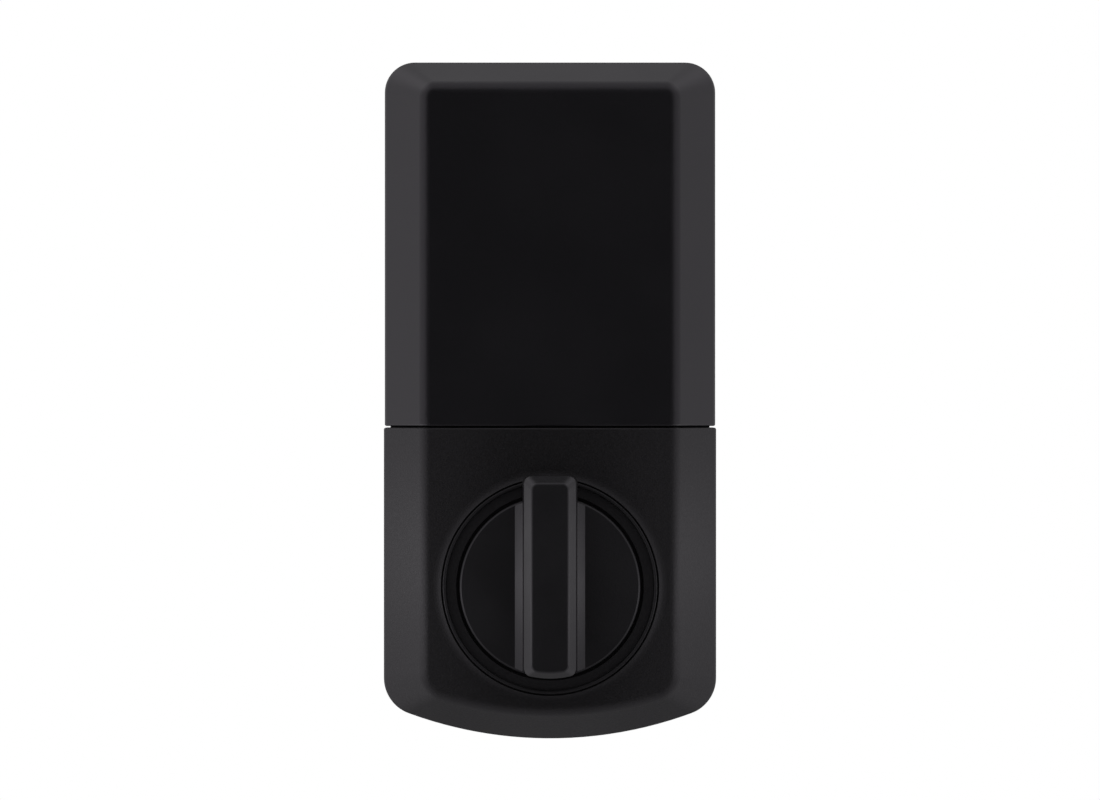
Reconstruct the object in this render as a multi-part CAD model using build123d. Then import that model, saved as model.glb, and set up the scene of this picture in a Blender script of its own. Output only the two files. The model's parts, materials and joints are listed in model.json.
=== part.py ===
# Indoor half of a keypad deadbolt lock, modelled in millimetres.
# Working frame: x to the right, y up, z out of the door toward the room; z = 0 is the door's face
# and the thumb turn's axis is x = y = 0. Every node is turned at export so that +Z is up and the
# room is toward -Y.
import os
from math import acos, asin, atan2, cos, degrees, hypot, pi, radians, sin, sqrt, tan
from build123d import *

os.makedirs("parts", exist_ok=True)

# ---- housing -------------------------------------------------------------------------------
body_width = 70.6           # lower cover, side to side
cover_step = 0.2            # the battery cover is this much narrower on each side
above_spindle = 111.2       # spindle to the top of the housing
below_spindle = 32.4        # spindle to the lowest point
housing_depth = 36.0        # door to the flat front
bevel_depth = 11.0          # how far the sloping margins run back from the front
face_half_width = 26.8      # flat front, both covers
face_top_margin = 4.9       # width of the slope at the top, seen from the front
face_bottom_margin = 5.7
bottom_arc = 87.0           # radius of the bowed bottom edge
corner_top = 6.4
corner_bottom = 8.0
face_corner_top = 3.0
face_corner_bottom = 5.3
crease_front = 2.8          # softening where slope meets front
crease_side = 2.0           # softening where slope meets side
cover_wall = 2.2
rim_lift = 0.3              # covers stand this far off the door
seam_height = 33.8          # middle of the line between the covers
seam_gap = 0.36
seam_round = 0.4
lap_skin = 1.0              # cover skin outside the lap joint
lap_play = 0.2
lap_height = 1.7
lap_thick = 0.9
lap_root = 2.5              # how far the lap reaches down inside the lower cover

# ---- knob and ring -------------------------------------------------------------------------
disc_radius = 19.15
disc_front = housing_depth + 1.3
disc_back = disc_front - 3.9
disc_dome = 0.7
disc_edge = 0.45
knob_gap = 0.55
joint_radius = 23.0         # joint between ring and cover
joint_play = 0.06
lip_radius = 4.0            # the cover curves up toward its opening with this radius
lip_reach = 1.6             # width of the raised lip
lip_crest = 0.1
ring_top = housing_depth + 0.1
ring_floor = housing_depth - 1.1
ring_back = housing_depth - 4.8
ring_shelf_radius = 15.0
ring_shelf_thick = 1.4
ring_lip_width = 0.85
ring_top_round = 0.5
lug_reach = 3.0
lug_screw = 1.4             # ring screws sit this far outside the joint
lug_width = 5.0
lug_thick = 1.4
lever_width = 11.1
lever_top = 23.6
lever_bottom = 19.15
lever_front = housing_depth + 14.5
lever_face = 7.8
lever_side_slope = 2.5
lever_foot_width = 11.7
lever_skirt = 1.6           # sloping skirt where the lever meets the disc
lever_end_slope = 1.7       # sloped margins at the lever's two ends
lever_toe_slope = 1.3
lever_soft = 0.7            # rounding of the lever's edges
lever_face_corner = 1.5
lever_clear = 0.6           # under the overhanging tip
lever_corner = 1.7
boss_radius = 7.0
boss_back = 24.0
drive_square = 6.4          # across the knob's square tenon
drive_depth = 6.0
drive_play = 0.05

# ---- drive -----------------------------------------------------------------------------------
hub_back = 2.2
hub_radius = 6.0
journal_radius = 7.0
journal_length = 2.7
socket_side = 5.6
socket_depth = 12.0
running_fit = 0.05
key_flat = 5.0              # half-height left at the flat that drives the spindle gear
bush_wall = 1.0
bush_flange = 1.2
gear_angle = 25.0           # pressure angle
gear_addendum = 0.85
gear_dedendum = 1.15
gear_backlash = 0.12
spindle_module = 0.8
spindle_teeth = 40
second_pinion_teeth = 12
second_module = 0.6
second_teeth = 36
first_pinion_teeth = 12
first_module = 0.5
first_teeth = 40
motor_pinion_teeth = 10
layer_a = (5.0, 8.6)        # spindle gear
layer_b = (9.0, 11.6)
layer_c = (12.0, 14.4)
clip_depth = 18.9
clip_thick = 0.8
clip_groove = 5.4
second_bearing = 81.5       # direction from spindle to second wheel, degrees from +x
first_bearing = 171.0
motor_bearing = 167.0
axle_radius = 1.0
axle_play = 0.03
plate_back = 15.0
plate_thick = 1.6
motor_width = 10.0
motor_height = 12.0
motor_length = 13.0
motor_shaft_radius = 0.75
magnet_ring = 13.0
magnet_radius = 1.5

# ---- chassis, plate and board ---------------------------------------------------------------
plate_inset = 3.2
door_plate = 1.6
door_bolt_x = 19.0
door_bolt_hole = 2.6
bolt_head_room = 5.2
spindle_hole = 9.4
chassis_inset = 2.9
chassis_low_inset = 4.2
floor_back = 2.4
floor_top = 4.4
chassis_wall = 1.6
chassis_rim = 9.0
foot_inset = 5.1            # rim that stands on the door plate
foot_width = 1.4
rail_depth = (3.0, 4.5)
rail_width = 1.4
rail_span = (40.0, 100.0)
passage_centre = (21.0, 13.0)
passage_size = (10.0, 13.0)
passage_corner = 2.0
board_back = 10.2
board_thick = 1.6
board_half_width = 29.0
board_span = (37.6, 103.0)
leg_x = (16.0, 25.4)
leg_bottom = -8.0
partition = 34.6
partition_wall = 1.6

# ---- battery bay -------------------------------------------------------------------------------
cell_radius = 7.2
cell_length = 50.5
cell_pitch = 14.8
cell_depth = 25.2
cell_start = 50.4
nub_radius = 2.7
nub_height = 1.0
tray_back = 15.4
tray_thick = 1.8
tray_wall = 1.6
tray_span = (35.7, 106.2)
bay_span = (49.6, 104.6)
tray_half_width = 31.6
tray_side_top = 22.0
tray_end_top = 27.6
spring_wire = 0.35
spring_radius = 3.0
spring_turns = 4
contact_thick = 0.4
contact_width = 8.0
service_panel_y = 41.2
unit_screw_x = 26.6
program_x = 14.0
program_radius = 1.9
slider_pitch = 4.0
slider_first_x = -9.0
slider_travel = 1.2
screw_radius = 1.25
screw_head = 2.4
screw_head_height = 1.5

cover_boss_low = (25.5, -18.0)
cover_boss_high = (29.6, 9.0)
cover_boss_radius = 2.9
pilot_radius = 1.1
thread_radius = 1.1         # gearbox and tray screws, and their pilot holes
board_thread = 0.9
boss_seat = 6.0
counterbore_top = 4.0


def add(name, shape, colour=None):
    """Turn a piece into the finished frame and write it as its own node."""
    placed = Plane.XZ * shape
    placed.label = name
    if colour:
        placed.color = Color(*colour)
    export_step(placed, f"parts/{name}.step")


def rod(radius, low, high, x=0.0, y=0.0):
    """A round bar along z between two depths."""
    return Pos(x, y, low) * Cylinder(radius, high - low, align=(Align.CENTER, Align.CENTER, Align.MIN))


def tube(outer, inner, low, high, x=0.0, y=0.0):
    return rod(outer, low, high, x, y) - rod(inner, low - 1, high + 1, x, y)


def slab(x0, x1, y0, y1, z0, z1):
    """A plain block between two corners."""
    centre = Pos((x0 + x1) / 2, (y0 + y1) / 2, (z0 + z1) / 2)
    return centre * Box(x1 - x0, y1 - y0, z1 - z0)


def section(points):
    """A closed profile given as (radius or x, depth), standing in the x-z plane."""
    return Plane.XZ * make_face(Polyline(*points, close=True))


def both_sides(points):
    return [(side * x, y) for x, y in points for side in (-1, 1)]


def outline(half_width, top, bottom, r_top, r_bottom, arc):
    """Housing profile: straight sides and top, a bowed bottom and four rounded corners."""
    centre_y = arc - bottom
    low = centre_y - sqrt(arc**2 - half_width**2)
    edges = [
        Line((-half_width, low), (-half_width, top)),
        Line((-half_width, top), (half_width, top)),
        Line((half_width, top), (half_width, low)),
        ThreePointArc((half_width, low), (0, -bottom), (-half_width, low)),
    ]
    face = make_face(Curve() + edges)
    face = fillet(face.vertices().sort_by(Axis.Y)[:2], r_bottom)
    upper = [v for v in face.vertices() if abs(v.Y - top) < 1e-5 and abs(abs(v.X) - half_width) < 1e-5]
    return fillet(upper, r_top)


def inset_outline(inset):
    return outline(
        body_width / 2 - inset,
        above_spindle - inset,
        below_spindle - inset,
        corner_top - min(inset, corner_top - 2),
        corner_bottom - min(inset, corner_bottom - 2),
        bottom_arc - inset,
    )


def housing(half_width, inset, back, softened=False):
    """The bevelled housing block, shrunk evenly by inset, from depth back to the front."""
    side_margin = half_width - face_half_width
    side_angle = atan2(bevel_depth, side_margin)
    shoulder = housing_depth - bevel_depth - inset * tan((pi / 2 - side_angle) / 2)

    def shrink(margin):
        return inset * tan(atan2(bevel_depth, margin) / 2)

    base = outline(
        half_width - inset,
        above_spindle - inset,
        below_spindle - inset,
        corner_top - min(inset, corner_top - 2),
        corner_bottom - min(inset, corner_bottom - 2),
        bottom_arc - inset,
    )
    bottom_in = face_bottom_margin + shrink(face_bottom_margin)
    front = outline(
        face_half_width - shrink(side_margin),
        above_spindle - face_top_margin - shrink(face_top_margin),
        below_spindle - bottom_in,
        face_corner_top,
        face_corner_bottom,
        bottom_arc - bottom_in,
    )
    front_depth = housing_depth - inset
    block = extrude(Pos(0, 0, back) * base, shoulder - back)
    block += loft([Pos(0, 0, shoulder) * base, Pos(0, 0, front_depth) * front], ruled=True)
    if softened:
        near = 0.01
        block = fillet(block.edges().filter_by_position(Axis.Z, front_depth - near, front_depth + near), crease_front)
        block = fillet(block.edges().filter_by_position(Axis.Z, shoulder - near, shoulder + near), crease_side)
    return block


def band(shape, y0, y1):
    """The part of a shape between two heights."""
    reach = 2 * body_width
    return shape & slab(-reach, reach, y0, y1, -reach, reach)


# ---- covers ------------------------------------------------------------------------------------
far = 400.0
seam_low = seam_height - seam_gap / 2
seam_high = seam_height + seam_gap / 2
upper_half = body_width / 2 - cover_step
lower_half = body_width / 2

upper_block = band(housing(upper_half, 0, rim_lift, softened=True), seam_high, far)
upper_rim = [e for e in upper_block.faces().sort_by(Axis.Y)[0].edges() if e.center().Z > rim_lift + 0.01]
upper_block = fillet(upper_rim, seam_round)
upper_hollow = band(housing(upper_half, cover_wall, -5), -far, far)
battery_cover = upper_block - upper_hollow
rebate = band(housing(upper_half, lap_skin, -5), seam_high - 1, seam_high + lap_height + lap_play)
battery_cover -= rebate
for side in (-1, 1):
    inner = side * (upper_half - cover_wall + 0.2)
    x0, x1 = sorted((inner, side * (upper_half - cover_wall - rail_width)))
    battery_cover += slab(x0, x1, *rail_span, *rail_depth)
add("battery_cover", battery_cover, (0.09, 0.09, 0.1))

lower_block = band(housing(lower_half, 0, rim_lift, softened=True), -far, seam_low)
lower_rim = [e for e in lower_block.faces().sort_by(Axis.Y)[-1].edges() if e.center().Z > rim_lift + 0.01]
lower_block = fillet(lower_rim, seam_round)
front_cover = lower_block - housing(lower_half, cover_wall, -5)
lap_outer = lap_skin + cover_step + lap_play
lap = housing(lower_half, lap_outer, rim_lift) - housing(lower_half, lap_outer + lap_thick, -5)
front_cover += band(lap, seam_low - lap_root, seam_high + lap_height - lap_play)
opening_core = rod(joint_radius, housing_depth - cover_wall - 5, housing_depth + 1)
front_cover -= opening_core
lip_angle = asin(lip_reach / lip_radius)
lip_start = joint_radius + lip_crest + lip_reach
lip_height = housing_depth + lip_radius * (1 - cos(lip_angle))
lip_root = housing_depth - cover_wall / 2
lip_profile = Curve() + [
    ThreePointArc(
        (lip_start, housing_depth),
        (lip_start - lip_radius * sin(lip_angle / 2), housing_depth + lip_radius * (1 - cos(lip_angle / 2))),
        (joint_radius + lip_crest, lip_height),
    ),
    Polyline(
        (joint_radius + lip_crest, lip_height), (joint_radius, lip_height - lip_crest),
        (joint_radius, lip_root), (lip_start, lip_root), (lip_start, housing_depth),
    ),
]
front_cover += revolve(Plane.XZ * make_face(lip_profile), Axis.Z)
front_inside = housing_depth - cover_wall
cover_bosses = both_sides([cover_boss_low, cover_boss_high])
boss_core = housing(lower_half, cover_wall - 0.2, boss_seat)
for x, y in cover_bosses:
    front_cover += rod(cover_boss_radius, boss_seat, front_inside + 1, x, y) & boss_core
    front_cover -= rod(pilot_radius, boss_seat - 1, boss_seat + 9, x, y)
ring_screw_radius = joint_radius + lug_screw
ring_screw_angles = (45.0, 135.0, 225.0, 315.0)
ring_screw_spots = [
    (ring_screw_radius * cos(radians(a)), ring_screw_radius * sin(radians(a))) for a in ring_screw_angles
]
lug_front = front_inside - 0.9
ring_screw_tip = housing_depth - 1.2
for x, y in ring_screw_spots:
    front_cover += rod(2.0, lug_front, front_inside + 0.3, x, y)
    front_cover -= rod(0.7, lug_front - 1, ring_screw_tip + 0.1, x, y)
front_cover -= opening_core
add("front_cover", front_cover, (0.16, 0.16, 0.17))

# ---- bezel ring: a dished ring that fills the cover's opening around the knob ---------------------
ring_outer = joint_radius - joint_play
ring_inner = disc_radius + knob_gap
floor_outer = ring_outer - ring_lip_width
lip = (ring_outer + floor_outer) / 2
dish = (floor_outer + ring_inner) / 2
ring_edges = Curve() + [
    ThreePointArc((ring_outer, ring_top - ring_top_round), (lip, ring_top), (floor_outer, ring_floor + 0.2)),
    Polyline((floor_outer, ring_floor + 0.2), (floor_outer - 0.2, ring_floor + 0.05)),
    ThreePointArc(
        (floor_outer - 0.2, ring_floor + 0.05), (dish, ring_floor), (ring_inner + 0.15, ring_floor + 0.02)
    ),
    Polyline(
        (ring_inner + 0.15, ring_floor + 0.02), (ring_inner, ring_floor - 0.13),
        (ring_inner, ring_back + ring_shelf_thick), (ring_shelf_radius, ring_back + ring_shelf_thick),
        (ring_shelf_radius, ring_back), (ring_outer, ring_back), (ring_outer, ring_top - ring_top_round),
    ),
]
bezel_ring = revolve(Plane.XZ * make_face(ring_edges), Axis.Z)
for (x, y), angle in zip(ring_screw_spots, ring_screw_angles):
    lug = Rot(0, 0, angle) * slab(
        ring_outer - 1.5, ring_outer + lug_reach, -lug_width / 2, lug_width / 2,
        lug_front - lug_thick, lug_front,
    )
    bezel_ring += lug
    bezel_ring -= rod(0.95, 0, lug_front + 0.3, x, y)
add("bezel_ring", bezel_ring, (0.07, 0.07, 0.08))


def pan_screw(x, y, tip, seat, radius=0.85, head=1.9, height=1.1, faces_room=True):
    """Cross-head screw; the head sits on depth seat and the thread ends at depth tip."""
    toward = 1 if faces_room else -1
    shank = rod(radius, min(tip, seat), max(tip, seat), x, y)
    low, high = sorted((seat, seat + toward * height))
    cap = rod(head, low, high, x, y)
    rim = cap.edges().sort_by(Axis.Z)[-1 if faces_room else 0]
    cap = fillet(rim, height * 0.6)
    top = seat + toward * height
    low, high = sorted((top - toward * height * 0.6, top + toward))
    arm = head * 1.15
    slot = slab(x - arm / 2, x + arm / 2, y - 0.22, y + 0.22, low, high)
    cross = slab(x - 0.22, x + 0.22, y - arm / 2, y + arm / 2, low, high)
    return shank + cap - slot - cross


ring_screws = [
    pan_screw(x, y, ring_screw_tip, lug_front - lug_thick, 0.7, 1.4, 0.9, faces_room=False)
    for x, y in ring_screw_spots
]
add("ring_screws", Compound(children=ring_screws), (0.6, 0.6, 0.62))

# ---- thumb turn ----------------------------------------------------------------------------------
dome_radius = (disc_radius**2 + disc_dome**2) / (2 * disc_dome)
dome = Pos(0, 0, disc_front + disc_dome - dome_radius) * Sphere(dome_radius)
lever_base = housing_depth + lever_clear
flare = lever_foot_width / 2
shoulder = lever_front - lever_side_slope


def lever_profile(width, top, bottom, corner):
    """Bar seen from the front: a straight upper end and a lower end that follows the disc."""
    bulge = bottom - sqrt(bottom**2 - (width / 2) ** 2)
    shape = make_face(Curve() + [
        Line((-width / 2, -bottom + bulge), (-width / 2, top)),
        Line((-width / 2, top), (width / 2, top)),
        Line((width / 2, top), (width / 2, -bottom + bulge)),
        ThreePointArc((width / 2, -bottom + bulge), (0, -bottom), (-width / 2, -bottom + bulge)),
    ])
    return fillet(shape.vertices(), corner)


# a domed plate crossed by the bar, with a sloping skirt along both sides of the bar
bar_reach = disc_radius + 3
bar = extrude(
    Pos(0, bar_reach, 0) * section([
        (-flare, lever_base), (-lever_width / 2, shoulder), (lever_width / 2, shoulder), (flare, lever_base),
    ]),
    2 * bar_reach,
)
blank = slab(-bar_reach, bar_reach, -bar_reach, bar_reach, disc_back, disc_front + disc_dome)
web = (blank & dome) + bar
roots = [
    e for e in web.edges()
    if abs(abs(e.center().X) - flare) < 0.5 and e.bounding_box().size.Y > disc_radius
    and lever_base + 0.01 < e.center().Z < disc_front + disc_dome + 0.1
]
web = chamfer(roots, lever_skirt)
edge_arc = disc_edge * (1 - cos(radians(45)))
limit = revolve(
    section([(0, disc_back - 1), (disc_radius, disc_back - 1), (disc_radius, disc_front - disc_edge),
             (disc_radius - edge_arc, disc_front - edge_arc), (disc_radius - disc_edge, disc_front),
             (disc_radius - disc_edge, shoulder), (0, shoulder)]),
    Axis.Z,
)
thumb_turn = web & limit
low_profile = lever_profile(lever_foot_width, lever_top, lever_bottom, lever_corner)
mid_profile = lever_profile(lever_width, lever_top, lever_bottom, lever_corner)
top_profile = lever_profile(
    lever_face, lever_top - lever_end_slope, lever_bottom - lever_toe_slope, lever_face_corner
)
lever = loft([Pos(0, 0, lever_base) * low_profile, Pos(0, 0, shoulder) * mid_profile], ruled=True)
lever += loft([Pos(0, 0, shoulder) * mid_profile, Pos(0, 0, lever_front) * top_profile], ruled=True)
front_edges = lever.edges().filter_by_position(Axis.Z, lever_front - 0.01, lever_front + 0.01)
lever = fillet(front_edges, lever_soft)
side_edges = lever.edges().filter_by_position(Axis.Z, shoulder - 0.01, shoulder + 0.01)
lever = fillet(side_edges, lever_soft)
thumb_turn += lever
thumb_turn += rod(boss_radius, boss_back, disc_back + 0.5)
tenon_back = boss_back - drive_depth
thumb_turn += slab(*(drive_square / 2 * s for s in (-1, 1, -1, 1)), tenon_back, boss_back + 0.5)
knob_screw_radius = 1.5
thumb_turn -= rod(knob_screw_radius, tenon_back - 1, boss_back + 7)
add("thumb_turn", thumb_turn, (0.08, 0.08, 0.09))

# ---- drive hub: square tailpiece socket at the back, square drive for the knob at the front ------
hub_front = boss_back - 0.02
journal_front = hub_back + journal_length
hub = rod(journal_radius, hub_back, journal_front) + rod(hub_radius, journal_front, hub_front)
hub -= slab(*(socket_side / 2 * s for s in (-1, 1, -1, 1)), hub_back - 1, hub_back + socket_depth)
drive_half = drive_square / 2 + drive_play
drive_floor = hub_front - drive_depth - 0.3
hub -= slab(*(drive_half * s for s in (-1, 1, -1, 1)), drive_floor, hub_front + 1)
hub -= rod(knob_screw_radius + 0.15, hub_back, hub_front)
key = slab(-hub_radius - 1, hub_radius + 1, key_flat, hub_radius + 1, *layer_a)
hub -= key
hub -= tube(hub_radius + 1, clip_groove, clip_depth - 0.03, clip_depth + clip_thick + 0.03)
add("drive_hub", hub, (0.75, 0.74, 0.7))

knob_screw_seat = hub_back + socket_depth
knob_screw = pan_screw(
    0, 0, boss_back + 6, knob_screw_seat, knob_screw_radius, screw_head, screw_head_height, faces_room=False
)
add("knob_screw", knob_screw, (0.6, 0.6, 0.62))

hub_clip = tube(hub_radius + 1.6, clip_groove, clip_depth, clip_depth + clip_thick)
hub_clip -= slab(-2.4, 2.4, -hub_radius - 3, 0, clip_depth - 1, clip_depth + 2)
add("hub_clip", hub_clip, (0.3, 0.3, 0.32))


# ---- gear train ----------------------------------------------------------------------------------
def gear(teeth, module, first_tooth, low, high):
    """Spur gear with involute flanks; first_tooth is the direction of one tooth, in degrees."""
    pressure = radians(gear_angle)
    pitch = module * teeth / 2
    base = pitch * cos(pressure)
    tip = pitch + gear_addendum * module
    root = pitch - gear_dedendum * module
    half_at_pitch = (pi * module / 2 - gear_backlash / 2) / (2 * pitch)

    def half_angle(radius):
        turn = acos(min(1, base / radius))
        return half_at_pitch + (tan(pressure) - pressure) - (tan(turn) - turn)

    flank_start = max(base, root)
    radii = [flank_start + (tip - flank_start) * i / 4 for i in range(5)]

    def at(radius, angle):
        return (radius * cos(angle), radius * sin(angle))

    edges = []
    for tooth in range(teeth):
        middle = radians(first_tooth) + 2 * pi * tooth / teeth
        ahead = middle + 2 * pi / teeth
        rising = [at(r, middle - half_angle(r)) for r in radii]
        falling = [at(r, middle + half_angle(r)) for r in reversed(radii)]
        root_angle = half_angle(flank_start)
        if base > root:
            edges.append(Line(at(root, middle - root_angle), rising[0]))
        edges.append(Spline(*rising))
        edges.append(ThreePointArc(rising[-1], at(tip, middle), falling[0]))
        edges.append(Spline(*falling))
        if base > root:
            edges.append(Line(falling[-1], at(root, middle + root_angle)))
        gap_start = at(root, middle + root_angle)
        edges.append(ThreePointArc(gap_start, at(root, (middle + ahead) / 2), at(root, ahead - root_angle)))
    return extrude(Pos(0, 0, low) * make_face(Curve() + edges), high - low)


def step_out(start, distance, bearing):
    return (start[0] + distance * cos(radians(bearing)), start[1] + distance * sin(radians(bearing)))


second_axis = step_out((0, 0), spindle_module * (spindle_teeth + second_pinion_teeth) / 2, second_bearing)
first_axis = step_out(second_axis, second_module * (second_teeth + first_pinion_teeth) / 2, first_bearing)
motor_axis = step_out(first_axis, first_module * (first_teeth + motor_pinion_teeth) / 2, motor_bearing)


def gap_toward(bearing, teeth):
    """First-tooth direction that puts a tooth space toward the opposite of a bearing."""
    return bearing + 180 + 180 / teeth


spindle_gear = gear(spindle_teeth, spindle_module, second_bearing, *layer_a)
spindle_gear -= rod(hub_radius, layer_a[0] - 1, layer_a[1] + 1) - key
hole_ring = 10.4
spindle_gear -= [
    Rot(0, 0, 30 + 60 * i) * rod(2.3, layer_a[0] - 1, layer_a[1] + 1, hole_ring, 0) for i in range(6)
]
magnet_floor = layer_a[1] - 1.6
spindle_gear -= rod(magnet_radius, magnet_floor, layer_a[1] + 1, magnet_ring, 0)
add("spindle_gear", spindle_gear, (0.75, 0.7, 0.45))
add("position_magnet", rod(magnet_radius, magnet_floor, layer_a[1], magnet_ring, 0), (0.5, 0.5, 0.52))

axle_bore = axle_radius + axle_play
second_gear = gear(second_pinion_teeth, spindle_module, gap_toward(second_bearing, second_pinion_teeth),
                   layer_a[0], layer_b[0])
second_gear += gear(second_teeth, second_module, first_bearing, *layer_b)
second_gear -= rod(axle_bore, 0, plate_back)
add("reduction_gear_2", Pos(*second_axis, 0) * second_gear, (0.75, 0.7, 0.45))

first_gear = gear(first_pinion_teeth, second_module, gap_toward(first_bearing, first_pinion_teeth),
                  layer_b[0], layer_c[0])
first_gear += gear(first_teeth, first_module, motor_bearing, *layer_c)
first_gear -= rod(axle_bore, 0, plate_back)
add("reduction_gear_1", Pos(*first_axis, 0) * first_gear, (0.9, 0.88, 0.8))

pinion = gear(motor_pinion_teeth, first_module, gap_toward(motor_bearing, motor_pinion_teeth),
              layer_c[0] - 0.2, layer_c[1] + 0.2)
pinion -= rod(motor_shaft_radius, 0, plate_back)
add("motor_pinion", Pos(*motor_axis, 0) * pinion, (0.8, 0.7, 0.4))

plate_front = plate_back + plate_thick
axle_foot = floor_back + 0.6
axles = [rod(axle_radius, axle_foot, plate_front - 0.2, *axis) for axis in (second_axis, first_axis)]
add("gear_axles", Compound(children=axles), (0.7, 0.7, 0.72))

# ---- motor -----------------------------------------------------------------------------------------
motor_front = plate_front + motor_length
flats = slab(-motor_width / 2, motor_width / 2, -motor_height, motor_height, 0, housing_depth)
nose_radius = 2.0
nose_back = plate_front - 0.9
motor_screw_offset = 4.7
motor_screw_radius = 0.8
shaft_room = motor_shaft_radius + 0.05
can = (rod(motor_height / 2, plate_front, motor_front) & flats) + rod(nose_radius, nose_back, plate_front + 1)
can -= rod(shaft_room, nose_back - 1, motor_front - 1)
for side in (-1, 1):
    can -= rod(motor_screw_radius, plate_front - 1, plate_front + 2, 0, side * motor_screw_offset)
add("motor_can", Pos(*motor_axis, 0) * can, (0.75, 0.75, 0.77))
cap_front = motor_front + 0.9
end_cap = rod(motor_height / 2 - 0.4, motor_front, cap_front) & flats
end_cap &= slab(-motor_width / 2 + 0.3, motor_width / 2 - 0.3, -9, 9, 0, housing_depth)
add("motor_end_cap", Pos(*motor_axis, 0) * end_cap, (0.9, 0.9, 0.88))
terminal_x = 2.6
terminal_front = cap_front + 1.5
terminals = [
    Pos(*motor_axis, 0) * slab(side * terminal_x - 0.9, side * terminal_x + 0.9, -0.2, 0.2, cap_front, terminal_front)
    for side in (-1, 1)
]
add("motor_terminals", Compound(children=terminals), (0.8, 0.6, 0.35))
shaft = rod(motor_shaft_radius, layer_c[0] - 0.6, motor_front - 1.5, *motor_axis)
add("motor_shaft", shaft, (0.7, 0.7, 0.72))
motor_screws = [
    pan_screw(motor_axis[0], motor_axis[1] + side * motor_screw_offset, plate_front + 1.8, plate_back,
              motor_screw_radius, 1.35, 0.7, faces_room=False)
    for side in (-1, 1)
]
add("motor_screws", Compound(children=motor_screws), (0.6, 0.6, 0.62))

# ---- gearbox plate and bushes -------------------------------------------------------------------
bush_outer = hub_radius + running_fit + bush_wall
plate_posts = [(-15.0, -14.0), (15.0, -14.0), (-28.2, 16.4), (13.0, 31.2)]
post_radius = 2.6
plate_outline = make_face(Polyline(
    (-18, -17.5), (18, -17.5), (18, 8), (16.4, 33.9), (8, 33.9), (5, 32), (-30.8, 32), (-30.8, 13.4),
    (-24.5, 13.4), (-18, 5), close=True,
))
plate_outline = fillet(plate_outline.vertices(), 1.2)
gearbox_plate = extrude(Pos(0, 0, plate_back) * plate_outline, plate_thick)
collar_radius = 2.2
gearbox_plate += rod(collar_radius, layer_b[1] + 0.3, plate_back, *second_axis)
gearbox_plate += rod(collar_radius, layer_c[1] + 0.3, plate_back, *first_axis)
gearbox_plate -= rod(bush_outer, 0, housing_depth)
gearbox_plate -= rod(nose_radius + 0.1, 0, housing_depth, *motor_axis)
for axis in (second_axis, first_axis):
    gearbox_plate -= rod(axle_radius, 0, housing_depth, *axis)
for side in (-1, 1):
    gearbox_plate -= rod(motor_screw_radius + 0.1, 0, housing_depth, motor_axis[0],
                         motor_axis[1] + side * motor_screw_offset)
for x, y in plate_posts:
    gearbox_plate -= rod(1.3, 0, housing_depth, x, y)
add("gearbox_plate", gearbox_plate, (0.8, 0.8, 0.82))
gearbox_screws = [pan_screw(x, y, plate_back - 6, plate_front, thread_radius, 2.1, 1.2) for x, y in plate_posts]
add("gearbox_screws", Compound(children=gearbox_screws), (0.6, 0.6, 0.62))

bore = hub_radius + running_fit
front_bush = rod(bush_outer, plate_back - 0.4, plate_front) + rod(bush_outer + 1.5, plate_front,
                                                                 plate_front + bush_flange)
front_bush -= rod(bore, 0, housing_depth)
add("front_bush", front_bush, (0.7, 0.5, 0.3))
rear_outer = journal_radius + running_fit + bush_wall
rear_bush_front = floor_top + 0.3
rear_bush = rod(rear_outer, floor_back, rear_bush_front) + rod(rear_outer + 0.9, floor_back - 0.7, floor_back)
rear_bush -= rod(journal_radius + running_fit, 0, housing_depth)
add("rear_bush", rear_bush, (0.7, 0.5, 0.3))
washer_low = plate_front + bush_flange
wave = section([(bore + 0.3, washer_low + 0.55), (bore + 0.3, washer_low + 0.8),
                (bush_outer + 1.3, washer_low + 0.25), (bush_outer + 1.3, washer_low)])
add("wave_washer", revolve(wave, Axis.Z), (0.7, 0.7, 0.72))

# ---- door plate -----------------------------------------------------------------------------------
passage = Pos(*passage_centre, 0) * RectangleRounded(*passage_size, passage_corner)
unit_screws_at = both_sides([(unit_screw_x, service_panel_y)])
hook_y = -25.0
hook_width = 6.0
hook_thick = 1.2
hook_tongue = 2.2
hook_x = 12.0
door_plate_shape = extrude(inset_outline(plate_inset), door_plate)
door_plate_shape -= rod(spindle_hole, -1, 3)
door_plate_shape -= [rod(door_bolt_hole, -1, 3, side * door_bolt_x, 0) for side in (-1, 1)]
door_plate_shape -= extrude(Pos(0, 0, -1) * passage, 4)
window = RectangleRounded(34, 42, 4)
door_plate_shape -= extrude(Pos(0, 72, -1) * window, 4)
unit_screw_radius = 1.5
door_plate_shape -= [rod(unit_screw_radius, -1, 3, x, y) for x, y in unit_screws_at]
for side in (-1, 1):
    x0 = side * hook_x - hook_width / 2
    x1 = x0 + hook_width
    hook_top = floor_top + 0.3 + hook_thick
    door_plate_shape += slab(x0, x1, hook_y - hook_thick, hook_y, door_plate - 0.5, hook_top)
    door_plate_shape += slab(x0, x1, hook_y - hook_thick, hook_y + hook_tongue, hook_top - hook_thick, hook_top)
add("door_plate", door_plate_shape, (0.7, 0.7, 0.72))

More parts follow.
